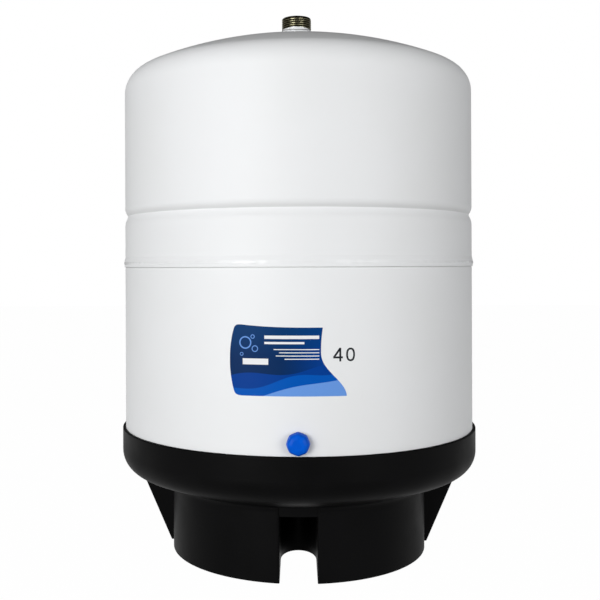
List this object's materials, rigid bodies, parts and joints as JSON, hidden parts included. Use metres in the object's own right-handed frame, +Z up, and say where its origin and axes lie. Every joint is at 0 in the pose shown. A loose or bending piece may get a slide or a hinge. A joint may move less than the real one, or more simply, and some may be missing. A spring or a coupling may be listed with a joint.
{
  "type": "reverse osmosis storage tank",
  "caption": "Upright pressurised steel water storage tank with domed ends, threaded top connection, capped air valve and moulded plastic stand.",
  "frame": {"origin": "on the floor under the tank's axis, at the middle of the stand's foot", "axes": "+Z up along the tank's axis, -Y towards the front with the air valve and the sticker, +X to the right seen from the front"},
  "size_m": [0.3866, 0.3944, 0.583],
  "materials": {
    "white_paint": "glossy white paint on steel",
    "yellow_zinc": "yellow-brown plating",
    "seal_rubber": "black seal rubber",
    "liner_plastic": "natural polypropylene",
    "butyl_rubber": "black butyl rubber",
    "plated_steel": "zinc-plated steel",
    "black_plastic": "fine-grained black polypropylene",
    "label_film": "printed vinyl film",
    "brass": "turned brass",
    "seal_plastic": "white fluoropolymer",
    "spring_steel": "spring wire",
    "blue_plastic": "moulded blue plastic"
  },
  "bodies": {
    "tank": {"upper_shell": "white_paint", "lower_shell": "white_paint", "water_connection": "yellow_zinc", "connection_o_ring": "seal_rubber", "chamber_liner": "liner_plastic", "diaphragm": "butyl_rubber", "clench_ring": "plated_steel", "base_stand": "black_plastic", "label": "label_film", "valve_stem": "brass", "valve_gasket": "seal_rubber", "valve_washer": "plated_steel", "valve_lock_nut": "brass", "valve_core_body": "brass", "valve_core_seal": "seal_plastic", "core_spring": "spring_steel"},
    "core_pin": {"core_pin": "brass", "core_pin_washer": "seal_rubber"},
    "cap_seal": {"cap_seal": "seal_rubber"},
    "cap": {"valve_cap": "blue_plastic"}
  },
  "joints": [
    {"name": "cap_travel", "type": "slide", "parent": "tank", "child": "cap_seal", "axis": [0, -1, 0], "range_m": [0, 0.00437]},
    {"name": "cap_turn", "type": "hinge", "parent": "cap_seal", "child": "cap", "pos_m": [0, -0.195, 0.1462], "axis": [0, -1, 0], "range_deg": [0, 1980]},
    {"name": "core_pin_press", "type": "slide", "parent": "tank", "child": "core_pin", "axis": [0, 1, 0], "range_m": [0, 0.001], "stiffness_N_per_m": 1000, "deforming": ["core_spring"]}
  ],
  "couplings": [
    {"joint": "cap_turn", "follows": "cap_travel", "rad_per_m": 7913.2}
  ]
}
